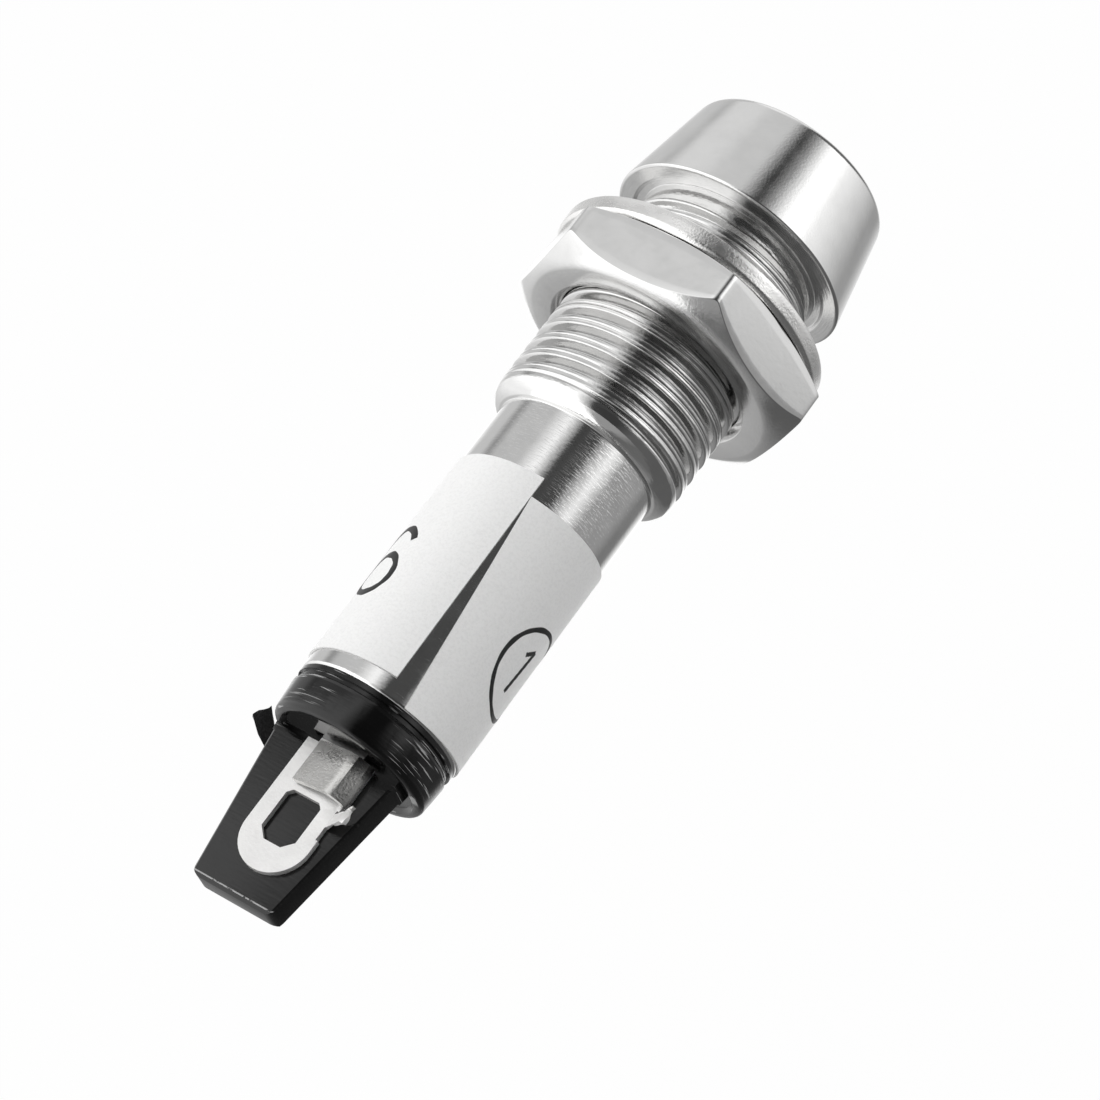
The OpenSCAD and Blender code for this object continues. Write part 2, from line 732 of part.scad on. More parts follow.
// the paper label, wound on askew so that its seam gapes towards the rear
module wrap_label() {
    r0 = tube_d / 2 + label_gap;
    r1 = r0 + label_t;
    near_front = collar_end + label_front;
    far_front = collar_end + label_front_far;
    near_rear = tube_end - label_rear;
    far_rear = tube_end - label_rear_far;
    big = tube_len * 2;
    mid_front = (near_front + far_front - label_step) / 2;
    mid_rear = (near_rear + far_rear - label_step) / 2;
    tilt_front = atan2((far_front - label_step - near_front) / 2, r1);
    tilt_rear = atan2((far_rear - label_step - near_rear) / 2, r1);
    color("white")
        rotate([0, -seam_angle, 0])
            difference() {
                turned([[r0, near_front - label_front / 4], [r1, near_front - label_front / 4],
                    [r1, far_rear], [r0, far_rear]]);
                // the half that carries the label's start: its ends run askew
                intersection() {
                    translate([0, mid_front, 0])
                        rotate([0, 0, -tilt_front])
                            translate([-big, -big, -big])
                                cube([2 * big, big, 2 * big]);
                    block([-big, -big, -big], [big, big, 0]);
                }
                intersection() {
                    translate([0, mid_rear, 0])
                        rotate([0, 0, -tilt_rear])
                            translate([-big, 0, -big])
                                cube([2 * big, big, 2 * big]);
                    block([-big, -big, -big], [big, big * 2, 0]);
                }
                // the other half ends square
                block([-big, -big, 0], [big, far_front, big]);
                // the wedge-shaped seam
                wedge(r1 * 2, near_front, far_rear);
            }
}

// a wedge cutter seen along X: a slit in front, open at the rear
module wedge(h, y0, y1) {
    span = y1 - y0;
    open = sin(seam_open) * tube_d / 2;
    rotate([0, 90, 0])
        linear_extrude(height = h)
            polygon([[0, y0 - span], [0, y1 + span],
                [-seam_slit - open * 2, y1 + span], [-seam_slit, y0], [-seam_slit, y0 - span]]);
}

// the flat washer, its edge dulled by tumbling
module flat_washer()
    color([0.75, 0.75, 0.75])
        turned([[washer_bore_d / 2, washer_y],
            [washer_d / 2 - washer_edge, washer_y],
            [washer_d / 2, washer_y + washer_edge],
            [washer_d / 2, washer_y + washer_t - washer_fall],
            [washer_d / 2 - washer_fall, washer_y + washer_t],
            [washer_bore_d / 2, washer_y + washer_t]]);

// the thin hexagon nut with a domed rear chamfer and countersunk bore; the
// chamfers run on past the corners, which they cut
module hex_nut() {
    bore = thread_r + nut_fit;
    mid_r = (nut_ring_d / 2 + nut_corner_r) / 2;
    mid_fall = nut_fall * nut_dome_share;
    past = 1 + nut_past_share;
    color("silver")
        intersection() {
            rotate([0, -nut_turn, 0])
                along_y(nut_front - overrun, nut_rear + overrun)
                    circle(r = nut_corner_r, $fn = 6);
            turned([[bore + nut_sink, nut_front],
                [nut_front_d / 2, nut_front],
                [nut_front_d / 2 + (nut_corner_r - nut_front_d / 2) * past,
                 nut_front + nut_front_fall * past],
                [mid_r + (nut_corner_r - mid_r) * past,
                 nut_rear - mid_fall - (nut_fall - mid_fall) * past],
                [mid_r, nut_rear - mid_fall],
                [nut_ring_d / 2, nut_rear],
                [bore + nut_sink, nut_rear],
                [bore, nut_rear - nut_sink],
                [bore, nut_front + nut_sink]]);
        }
}

body_shell();
lens();
led_bulb();
led_lead_anode();
led_lead_cathode();
lamp_holder();
resistor_body();
resistor_wire_front();
resistor_wire_rear();
resistor_sleeve();
lead_sleeve();
solder_resistor();
solder_positive();
solder_negative();
terminal_base();
terminal_positive();
terminal_negative();
wrap_label();
flat_washer();
hex_nut();
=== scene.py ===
"""Panel pilot light: the looks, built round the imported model. Metres, the light's axis along Y."""
import math

import bmesh
import bpy
import numpy as np
from mathutils import Matrix, Vector


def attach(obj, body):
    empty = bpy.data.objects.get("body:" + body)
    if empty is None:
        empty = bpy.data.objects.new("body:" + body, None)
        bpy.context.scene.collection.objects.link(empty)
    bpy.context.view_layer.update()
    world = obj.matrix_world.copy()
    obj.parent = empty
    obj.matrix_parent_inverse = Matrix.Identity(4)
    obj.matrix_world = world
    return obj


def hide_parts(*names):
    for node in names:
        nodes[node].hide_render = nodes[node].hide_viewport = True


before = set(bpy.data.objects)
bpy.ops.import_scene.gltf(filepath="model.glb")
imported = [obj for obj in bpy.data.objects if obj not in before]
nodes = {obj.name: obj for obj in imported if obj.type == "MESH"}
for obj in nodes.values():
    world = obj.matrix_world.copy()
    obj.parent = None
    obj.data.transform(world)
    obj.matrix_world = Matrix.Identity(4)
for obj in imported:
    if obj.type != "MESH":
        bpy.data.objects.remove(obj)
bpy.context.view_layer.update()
mm = 0.001


# Camera and framing
# Above and behind the light, with a long lens, rolled so that the light runs from the head at
# the upper right to the tongue at the lower left.
camera_place = Vector((-0.06628, 0.06671, 0.11088))
camera_aim = Vector((-0.00172, 0.01773, -0.00020))
camera_roll = math.radians(-21.8)

camera_data = bpy.data.cameras.new("camera")
camera_data.sensor_width = 36
camera_data.lens = 98.2
camera_data.clip_start = 0.01
camera_data.clip_end = 20
camera = bpy.data.objects.new("camera", camera_data)
bpy.context.scene.collection.objects.link(camera)
towards = (camera_aim - camera_place).to_track_quat("-Z", "Y").to_matrix()
camera.matrix_world = Matrix.Translation(camera_place) @ (
    towards @ Matrix.Rotation(camera_roll, 3, "Z")).to_4x4()
bpy.context.scene.camera = camera
bpy.context.scene.view_settings.view_transform = "Standard"


# Studio light
# A tent of soft panels round the light's axis, in five zones from the lens's side to the lugs'.
# Each has its own panels, with a dark gap just past the top, and a grey card stands low on the
# right. A softbox lights the paper and the black base. The camera sees plain white behind.
class Tree:
    """A node tree and short ways to add nodes and links to it."""

    def __init__(self, owner):
        owner.use_nodes = True
        self.tree = owner.node_tree
        self.tree.nodes.clear()

    def add(self, kind, inputs=(), **settings):
        """Adds a node, sets its attributes, and links or sets its inputs by name or index."""
        node = self.tree.nodes.new(kind)
        for name, value in settings.items():
            setattr(node, name, value)
        for key, value in dict(inputs).items():
            socket = node.inputs[key]
            if isinstance(value, bpy.types.NodeSocket):
                self.tree.links.new(value, socket)
            else:
                socket.default_value = value
        return node

    def math(self, operation, a, b=0.0, c=0.0):
        """One Math node's result."""
        return self.add("ShaderNodeMath", {0: a, 1: b, 2: c}, operation=operation).outputs[0]

    def band(self, value, low, high):
        """0 below low, 1 above high, and a smooth step between."""
        node = self.add("ShaderNodeMapRange", {"Value": value, "From Min": low, "From Max": high},
                        interpolation_type="SMOOTHSTEP")
        return node.outputs["Result"]

    def spread(self, value, low, high, least, most):
        """least where value is low, most where it is high, and an even blend between."""
        node = self.add("ShaderNodeMapRange", {"Value": value, "From Min": low, "From Max": high,
                                               "To Min": least, "To Max": most})
        return node.outputs["Result"]

    def mix(self, share, a, b):
        """Colour a where share is 0, b where it is 1, and a blend between."""
        return self.add("ShaderNodeMix", {0: share, 6: a, 7: b}, data_type="RGBA").outputs[2]

    def noise(self, vector, scale, detail, roughness=0.5):
        """A noise pattern's level over a place."""
        return self.add("ShaderNodeTexNoise", {"Vector": vector, "Scale": scale, "Detail": detail,
                                               "Roughness": roughness}).outputs["Fac"]

    def bump(self, height, distance, normal=None):
        """The normal that a height pattern tilts, on top of another such normal where given."""
        inputs = {"Strength": 1.0, "Distance": distance, "Height": height}
        if normal is not None:
            inputs["Normal"] = normal
        return self.add("ShaderNodeBump", inputs).outputs[0]

    def surface(self, inputs):
        """Ends a material's tree in a Principled shader."""
        shader = self.add("ShaderNodeBsdfPrincipled", inputs)
        self.add("ShaderNodeOutputMaterial", {"Surface": shader.outputs[0]})

    def ramp(self, value, stops):
        """A ramp of grey levels or colours over (place, level or colour) stops."""
        node = self.add("ShaderNodeValToRGB", {"Fac": value})
        while len(node.color_ramp.elements) < len(stops):
            node.color_ramp.elements.new(1.0)
        for element, (place, level) in zip(node.color_ramp.elements, stops):
            element.position = place
            rgb = level if isinstance(level, tuple) else (level,) * 3
            element.color = (*rgb, 1.0)
        return node.outputs["Color"]


# The soft panels of each zone, as (from, to, level): degrees round the axis from +X towards +Z,
# with an even blend from each panel to the next. They are what stands in front of the light,
# beside the head and the nut, beside the thread and the tube, behind the light and far behind it.
front_wall = [(-180, -120, 0.15), (-65, -35, 0.75), (0, 45, 1.0), (80, 84, 0.75),
              (104, 130, 0.1), (150, 180, 0.15)]
tent = [(-180, -178, 1.05), (-120, -104, 0.38), (-64, -57, 0.95), (-35, -12, 0.65), (0, 2, 0.55),
        (14, 45, 0.8), (60, 90, 0.68), (107, 111, 0.05), (122, 123, 0.3), (145, 165, 1.45),
        (178, 180, 1.05)]
card = [(-180, -140, 0.35), (-122, -106, 0.22), (-82, -47, 1.2), (-22, 0, 0.65), (11, 13, 0.35),
        (25, 62, 0.6), (83, 86, 1.15), (104, 130, 0.07), (155, 158, 1.0), (176, 180, 0.35)]
back_wall = [(-180, -100, 0.12), (-62, -58, 0.45), (-20, -10, 1.1), (22, 80, 1.45),
             (102, 135, 0.05), (155, 180, 0.12)]
rear_strip = [(-180, -130, 0.15), (-65, -60, 0.45), (-15, 78, 1.5), (102, 150, 0.35),
              (178, 180, 0.15)]
# where each later zone starts, as the Y of the direction looked in, and half its soft edge
tent_start, tent_soft = -0.83, 0.03
card_start, card_soft = -0.437, 0.008
wall_start, wall_soft = -0.15, 0.05
strip_start, strip_soft = 0.70, 0.03
softbox_place = Vector((-0.03, 0.04, 0.40))
softbox_size = 0.3
softbox_watts = 0.42

world = bpy.data.worlds.new("studio")
bpy.context.scene.world = world
light = Tree(world)
ray = light.add("ShaderNodeTexCoord").outputs["Generated"]
way = light.add("ShaderNodeSeparateXYZ", {"Vector": ray})
turn = light.math("ARCTAN2", way.outputs["Z"], way.outputs["X"])
share = light.math("MULTIPLY_ADD", turn, 1 / math.tau, 0.5)


def panel_light(panels):
    """The brightness that a zone's panels give round the axis."""
    return light.ramp(share, [(angle / 360 + 0.5, brightness)
                              for *ends, brightness in panels for angle in ends])


level = panel_light(front_wall)
for panels, start, soft in ((tent, tent_start, tent_soft), (card, card_start, card_soft),
                            (back_wall, wall_start, wall_soft),
                            (rear_strip, strip_start, strip_soft)):
    past = light.band(way.outputs["Y"], start - soft, start + soft)
    level = light.mix(past, level, panel_light(panels))
tent_light = light.add("ShaderNodeBackground", {"Color": level})
backdrop = light.add("ShaderNodeBackground", {"Color": (1, 1, 1, 1)})
rays = light.add("ShaderNodeLightPath")
seen = light.add("ShaderNodeMixShader", {0: rays.outputs["Is Camera Ray"],
                                         1: tent_light.outputs[0], 2: backdrop.outputs[0]})
light.add("ShaderNodeOutputWorld", {"Surface": seen.outputs[0]})

softbox = bpy.data.lights.new("softbox", "AREA")
softbox.shape = "SQUARE"
softbox.size = softbox_size
softbox.energy = softbox_watts
lamp = bpy.data.objects.new("softbox", softbox)
bpy.context.scene.collection.objects.link(lamp)
lamp.location = softbox_place
lamp.rotation_euler = (camera_aim - lamp.location).to_track_quat("-Z", "Y").to_euler()
lamp.visible_glossy = False


# The floor
# A plain pale sheet well below the light, which the panel holds. It is white to the camera and
# clear from below, so that the light can be looked at from underneath.
floor_drop = 0.07
floor_half = 3.0
floor_white = 0.96

corners = np.array([[-1, -1], [1, -1], [1, 1], [-1, 1]]) * floor_half
floor_mesh = bpy.data.meshes.new("floor")
floor_mesh.from_pydata([(x, y, -floor_drop) for x, y in corners], [], [(0, 1, 2, 3)])
floor = bpy.data.objects.new("floor", floor_mesh)
bpy.context.scene.collection.objects.link(floor)
floor.visible_glossy = False
floor_material = bpy.data.materials.new("floor_white")
sheet = Tree(floor_material)
paper = sheet.add("ShaderNodeBsdfDiffuse", {"Color": (0.9, 0.9, 0.9, 1)})
white = sheet.add("ShaderNodeEmission", {"Color": (1, 1, 1, 1), "Strength": 1.0})
rays = sheet.add("ShaderNodeLightPath")
white_share = sheet.math("MULTIPLY", rays.outputs["Is Camera Ray"], floor_white)
top_side = sheet.add("ShaderNodeMixShader", {0: white_share, 1: paper.outputs[0],
                                             2: white.outputs[0]})
clear = sheet.add("ShaderNodeBsdfTransparent")
below = sheet.add("ShaderNodeNewGeometry").outputs["Backfacing"]
sides = sheet.add("ShaderNodeMixShader", {0: below, 1: top_side.outputs[0], 2: clear.outputs[0]})
sheet.add("ShaderNodeOutputMaterial", {"Surface": sides.outputs[0]})
floor_mesh.materials.append(floor_material)


# Body shell
# One piece of brass turned from bar: the tapered head, an undercut neck, a rolled thread, a
# rounded collar and a thin tube. It is bright nickel plated, smooth but faintly pebbled on the
# head, with fine turning marks on the tube.
head_len = 5.6 * mm
head_front_r = 5.3 * mm
head_rear_r = 6.25 * mm
thread_r = 5.0 * mm
pitch = 1.0 * mm
thread_depth = 0.5 * mm
thread_start = 0.95 * mm
thread_end = 12.21 * mm
thread_rows = 498
run_in_len = 0.6 * mm
run_out_len = 0.5 * mm
collar_end = 13.09 * mm
tube_r = 4.18 * mm
tube_end = 29.09 * mm
tube_bore_r = 3.6 * mm
lens_seat_r = 4.3 * mm
lens_seat_y = -1.4 * mm
bezel_r = 4.75 * mm
face_r = 5.42 * mm
undercut_r = 5.26 * mm
neck_r = 4.85 * mm
inner_bore_r = 2.6 * mm
inner_bore_end = 3.7 * mm


def skin(name, points, wrap_u=True, wrap_v=False, ends=()):
    """A mesh from a grid of points, rows along u and columns along v, each pair of rows joined by
    quads. wrap_u joins the last column to the first, wrap_v the last row to the first. ends are
    the faces that close an open grid, each as its four point numbers."""
    rows, cols = points.shape[:2]
    i, j = np.meshgrid(np.arange(rows if wrap_v else rows - 1),
                       np.arange(cols if wrap_u else cols - 1), indexing="ij")
    i2, j2 = (i + 1) % rows, (j + 1) % cols
    quads = np.stack([i * cols + j, i2 * cols + j, i2 * cols + j2, i * cols + j2], axis=-1)
    mesh = bpy.data.meshes.new(name)
    mesh.from_pydata(points.reshape(-1, 3).tolist(), [], quads.reshape(-1, 4).tolist() + list(ends))
    mesh.update()
    piece = bpy.data.objects.new(name, mesh)
    bpy.context.scene.collection.objects.link(piece)
    return piece


def smooth(piece, angle=32):
    """Shades a piece smooth, with crisp edges where faces meet at more than this angle."""
    mesh = piece.data
    mesh.polygons.foreach_set("use_smooth", np.ones(len(mesh.polygons), bool))
    mesh.set_sharp_from_angle(angle=math.radians(angle))


def middles(mesh):
    """The middles of a mesh's faces as an array."""
    found = np.empty(len(mesh.polygons) * 3)
    mesh.polygons.foreach_get("center", found)
    return found.reshape(-1, 3)


def round_edge(r0, y0, r1, y1, r2, y2, radius, steps=5):
    """Points that round the corner (r1, y1) between two straight runs: a quadratic curve from a
    point one radius before the corner to a point one radius after it."""
    corner = np.array([r1, y1])
    before = corner + (np.array([r0, y0]) - corner) * min(1, radius / math.hypot(r0 - r1, y0 - y1))
    after = corner + (np.array([r2, y2]) - corner) * min(1, radius / math.hypot(r2 - r1, y2 - y1))
    t = np.linspace(0, 1, steps)[:, None]
    return (1 - t) ** 2 * before + 2 * t * (1 - t) * corner + t ** 2 * after


def profile(corners, steps=5, hold=0.04 * mm):
    """A line of (r, y) points through corners given as (r, y, rounding radius). Straight runs get
    one more point near each end, so that they are shaded straight."""
    line = [np.array([corners[0][:2]])]
    for a, b, c in zip(corners, corners[1:], corners[2:]):
        if b[2] > 0:
            line.append(round_edge(a[0], a[1], b[0], b[1], c[0], c[1], b[2], steps))
        else:
            line.append(np.array([b[:2]]))
    line = np.vstack(line + [np.array([corners[-1][:2]])])
    held = [line[:1]]
    for a, b in zip(line, line[1:]):
        share = hold / math.hypot(*(b - a))
        if share < 0.25:
            held.append(np.array([a + (b - a) * share, b - (b - a) * share]))
        held.append(b[None, :])
    return np.vstack(held)


def thread_form(turns):
    """Depth share of a rolled thread over turns along the axis: a crest with a faint seam along
    its middle, a straight flank, a narrow root and a flank, each cycle one pitch long."""
    away = 0.5 - np.abs((turns % 1.0) - 0.5)
    flank = np.clip((away - 0.20) / 0.25, 0, 1)
    return 0.06 * np.exp(-(away / 0.07) ** 2) + flank ** 2 * (3 - 2 * flank)


def revolve(line, around):
    """Carries (r, y) rows round the Y axis: point (r cos a, y, r sin a) at each angle a."""
    r, y = line[:, :1], line[:, 1:2]
    return np.stack([r * np.cos(around), np.broadcast_to(y, (len(line), around.size)),
                     r * np.sin(around)], axis=-1)


around = -np.linspace(0, math.tau, 160, endpoint=False)
front = profile([
    (lens_seat_r, lens_seat_y, 0), (lens_seat_r, -5.0 * mm, 0.05 * mm),
    (bezel_r, -head_len, 0.08 * mm), (head_front_r, -head_len, 0.3 * mm),
    (head_rear_r, -0.1 * mm, 0.06 * mm), (head_rear_r - 0.12 * mm, 0, 0.05 * mm),
    (face_r, 0, 0.04 * mm), (undercut_r, -0.14 * mm, 0.05 * mm), (neck_r, -0.16 * mm, 0.06 * mm),
    (neck_r, thread_start - 0.15 * mm, 0.03 * mm), (thread_r, thread_start, 0)])
# The thread's depth follows its form along a helix, so the turns are y over the pitch plus the
# share of a turn, and it fades in and out over a short run at each end.
thread_y = np.linspace(thread_start, thread_end, thread_rows + 2)[1:-1, None]
run_in = np.clip((thread_y - thread_start) / run_in_len, 0, 1)
run_out = np.clip((thread_end - thread_y) / run_out_len, 0, 1)
turns = (thread_y - thread_start) / pitch + around / math.tau
radii = thread_r - thread_depth * thread_form(turns) * run_in * run_out
thread = np.stack([radii * np.cos(around), np.broadcast_to(thread_y, radii.shape),
                   radii * np.sin(around)], axis=-1)
back = profile([
    (thread_r, thread_end, 0), (4.97 * mm, 12.5 * mm, 0.2 * mm), (4.72 * mm, 12.85 * mm, 0.25 * mm),
    (4.36 * mm, collar_end - 0.03 * mm, 0.05 * mm), (tube_r, collar_end, 0.05 * mm),
    (tube_r, tube_end - 0.1 * mm, 0.08 * mm), (tube_r - 0.1 * mm, tube_end, 0.04 * mm),
    (tube_bore_r, tube_end, 0.04 * mm), (tube_bore_r, inner_bore_end, 0),
    (inner_bore_r, inner_bore_end, 0), (inner_bore_r, lens_seat_y, 0)])
body = skin("body_turned", np.concatenate([revolve(front, around), thread, revolve(back, around)]),
            wrap_v=True)
smooth(body, 40)
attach(body, "light")
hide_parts("body_shell")


def finish_tree(name):
    """A new material, its node tree and its Object coordinates."""
    material = bpy.data.materials.new(name)
    t = Tree(material)
    return material, t, t.add("ShaderNodeTexCoord").outputs["Object"]


def bright_metal(name, colour, roughness, pebble, pebble_size, lines, line_size, dull=0.08,
                 hollow=None, metallic=1.0, stretch=1.0):
    """Plated metal. pebble is the height of a soft orange-peel bump of pebble_size, which a
    stretch below 1 draws out round Y. lines is the height of turning marks round Y of line_size,
    all in metres. dull is how much roughness varies. hollow gives the two radii between which the
    metal turns from painted shade, in a groove, to its own colour."""
    material, t, place = finish_tree(name)
    axes = t.add("ShaderNodeSeparateXYZ", {"Vector": place})
    across = t.add("ShaderNodeCombineXYZ", {"X": axes.outputs["X"], "Z": axes.outputs["Z"]})
    radius = t.add("ShaderNodeVectorMath", {0: across.outputs[0]}, operation="LENGTH")
    radius = radius.outputs["Value"]
    turned = t.add("ShaderNodeCombineXYZ", {"X": radius, "Y": axes.outputs["Y"]})
    drift = t.add("ShaderNodeVectorMath", {0: across.outputs[0], 1: (0.05, 0.05, 0.05),
                                           2: turned.outputs[0]}, operation="MULTIPLY_ADD")
    marks = t.noise(drift.outputs[0], 1 / line_size, 3.0, 0.6)
    drawn = t.add("ShaderNodeVectorMath", {0: place, 1: (stretch, 1.0, stretch)},
                  operation="MULTIPLY")
    peel = t.noise(drawn.outputs[0], 1 / pebble_size, 2.0)
    worn = t.noise(place, 900.0, 4.0, 0.6)
    tone = t.ramp(worn, [(0.3, tuple(c * 0.94 for c in colour)), (0.62, colour)])
    # in a groove the colour turns to painted shade
    if hollow:
        tone = t.mix(t.band(radius, *hollow), painted_groove_shade, tone)
    t.surface({"Base Color": tone, "Metallic": metallic,
               "Roughness": t.spread(worn, 0.35, 0.7, roughness, roughness + dull),
               "Normal": t.bump(marks, lines, t.bump(peel, pebble))})
    return material


nickel = (0.80, 0.798, 0.793)
# the painted shade in the thread's grooves
painted_groove_shade = (0.30, 0.299, 0.297, 1)
head_nickel = bright_metal("head_nickel", nickel, 0.10, 3.6e-6, 0.12 * mm, 0.4e-6, 0.12 * mm)
thread_nickel = bright_metal("thread_nickel", (0.74, 0.738, 0.733), 0.08, 6.5e-6, 0.12 * mm, 2.4e-6,
                             0.09 * mm, hollow=(4.46 * mm, 4.56 * mm), stretch=0.5)
tube_nickel = bright_metal("tube_nickel", nickel, 0.07, 6.5e-6, 0.09 * mm, 1.5e-6, 0.09 * mm,
                           stretch=0.22)
faced_nickel = bright_metal("faced_nickel", nickel, 0.10, 1.0e-6, 0.13 * mm, 14.0e-6, 0.10 * mm)
for finish in (head_nickel, thread_nickel, tube_nickel, faced_nickel):
    body.data.materials.append(finish)
# the finishes change at the head's rear edge and where the collar rounds off, and the head's flat
# rear face has its own
head_finish_end = -0.05 * mm
thread_finish_end = collar_end - 0.9 * mm
faced_r = head_rear_r - 0.14 * mm
faced_half = 0.2 * mm
middle = middles(body.data)
middle_r = np.hypot(middle[:, 0], middle[:, 2])
zone = np.where(middle[:, 1] < head_finish_end, 0, np.where(middle[:, 1] < thread_finish_end, 1, 2))
zone = np.where((abs(middle[:, 1]) < faced_half) & (middle_r < faced_r), 3, zone)
body.data.polygons.foreach_set("material_index", zone.astype(np.int32))


# Hexagon nut
# A thin steel nut, nickel plated, with soft edges: a flat ring round the bore at the back, a
# domed chamfer out to the corners and a small countersink at each end of the bore.
nut_front = 4.04 * mm
nut_rear = 7.10 * mm
nut_half = 7.0 * mm
nut_turn = math.radians(6.6)
nut_bore_r = 5.05 * mm
nut_sink = 0.36 * mm
nut_ring_r = 6.45 * mm
nut_front_r = 6.85 * mm
nut_corner_r = nut_half / math.cos(math.radians(30))
chamfer_depth = 1.08 * mm
chamfer_dome = 1.47
front_depth = 0.5 * mm
front_dome = 1.2
corner_power = 90

# At each angle the outline is the half width over the cosines to the six flats, taken together
# as the root of the sum of their high powers, which rounds the corners a touch. A chamfer falls
# away along Y by its depth times a power of the way from the flat ring out to the corners.
around_nut = -np.linspace(0, math.tau, 360, endpoint=False)
flats = nut_turn + math.radians(30) + math.radians(60) * np.arange(6)
facing = np.clip(np.cos(around_nut[:, None] - flats), 0, 1)
hexagon = nut_half / (np.sum(facing ** corner_power, axis=1) ** (1 / corner_power))
dome = np.linspace(0, 1, 12)[:, None]
rear_r = nut_ring_r + (hexagon - nut_ring_r) * dome
rear_y = nut_rear - chamfer_depth * (
    (rear_r - nut_ring_r) / (nut_corner_r - nut_ring_r)) ** chamfer_dome
fore_r = nut_front_r + (hexagon - nut_front_r) * np.linspace(1, 0, 5)[:, None]
fore_y = nut_front + front_depth * (
    (fore_r - nut_front_r) / (nut_corner_r - nut_front_r)) ** front_dome
wall = np.linspace(0, 1, 7)[1:-1, None]
wall_r = np.broadcast_to(hexagon, (5, hexagon.size))
wall_y = rear_y[-1] + (fore_y[0] - rear_y[-1]) * wall
ring_r = np.array([nut_bore_r, nut_bore_r, nut_bore_r + nut_sink])[:, None]
ring_y = np.array([nut_front + nut_sink, nut_rear - nut_sink, nut_rear])[:, None]
end_r = np.array([nut_bore_r + nut_sink])[:, None]
end_y = np.array([nut_front])[:, None]
flat = np.ones((1, hexagon.size))
nut_r = np.vstack([ring_r * flat, rear_r, wall_r, fore_r, end_r * flat])
nut_y = np.vstack([ring_y * flat, rear_y, wall_y, fore_y, end_y * flat])
nut = skin("nut_hexagon", np.stack([nut_r * np.cos(around_nut), nut_y,
                                    nut_r * np.sin(around_nut)], axis=-1), wrap_v=True)


def bevelled(piece, width, angle):
    """Rounds a piece's edges where its faces meet at more than this angle."""
    edges = piece.modifiers.new("edges", "BEVEL")
    edges.width = width
    edges.segments = 3
    edges.limit_method = "ANGLE"
    edges.angle_limit = math.radians(angle)
    return edges


bevelled(nut, 0.09 * mm, 28)
smooth(nut, 180)
nut_nickel = bright_metal("nut_nickel", nickel, 0.12, 0.9e-6, 0.25 * mm, 0.1e-6, 0.05 * mm)
chamfer_nickel = bright_metal("chamfer_nickel", nickel, 0.15, 5.0e-6, 0.13 * mm, 4.0e-6, 0.12 * mm)
nut.data.materials.append(nut_nickel)
nut.data.materials.append(chamfer_nickel)
nut_row = np.arange(len(nut.data.polygons)) // hexagon.size
on_rear = (nut_row > 1) & (nut_row < 2 + len(dome))
nut.data.polygons.foreach_set("material_index", on_rear.astype(np.int32))
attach(nut, "nut")
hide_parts("hex_nut")


# Flat washer
# A thick steel washer, punched and then tumbled before it was nickel plated, so that its edge is
# dull and grainy. The nut presses it on the back of the panel.
washer_front = 3.07 * mm
washer_rear = 4.04 * mm
washer_r = 7.3 * mm
washer_bore_r = 5.15 * mm
widest_y = 3.3 * mm
break_y = 3.86 * mm
break_width = 0.18 * mm
edge_lean = 0.02 * mm
bore_front_y = 3.5 * mm
bore_rear_y = 3.6 * mm

washer_line = profile([
    (washer_bore_r, bore_front_y, 0), (washer_bore_r, washer_front, 0.05 * mm),
    (washer_r - edge_lean, washer_front, 0.1 * mm), (washer_r, widest_y, 0.1 * mm),
    (washer_r - edge_lean, break_y, 0.08 * mm),
    (washer_r - break_width, washer_rear, 0.06 * mm),
    (washer_bore_r, washer_rear, 0.05 * mm), (washer_bore_r, bore_rear_y, 0)])
washer = skin("washer_tumbled", revolve(washer_line, around), wrap_v=True)
smooth(washer, 50)
washer_nickel = bright_metal("washer_nickel", (0.90, 0.895, 0.885), 0.20, 12.0e-6, 0.12 * mm,
                             0.1e-6, 0.05 * mm, dull=0.16)
washer.data.materials.append(washer_nickel)
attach(washer, "washer")
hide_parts("flat_washer")


# Terminal base
# One black glossy moulding: the plug in the tube, a collar with faint ejection scores, and the
# tapered tongue that the lugs lie on.
scratch_band = (31.8 * mm, 31.4 * mm)
# where the painted highlight along the tongue's upper lip lies: its place, half width and height
lip_place = 38.41 * mm
lip_half = (0.055 * mm, 0.025 * mm)
lip_height = (0.60 * mm, 0.66 * mm)
pale_wear_and_highlight = (0.40, 0.40, 0.40, 1)


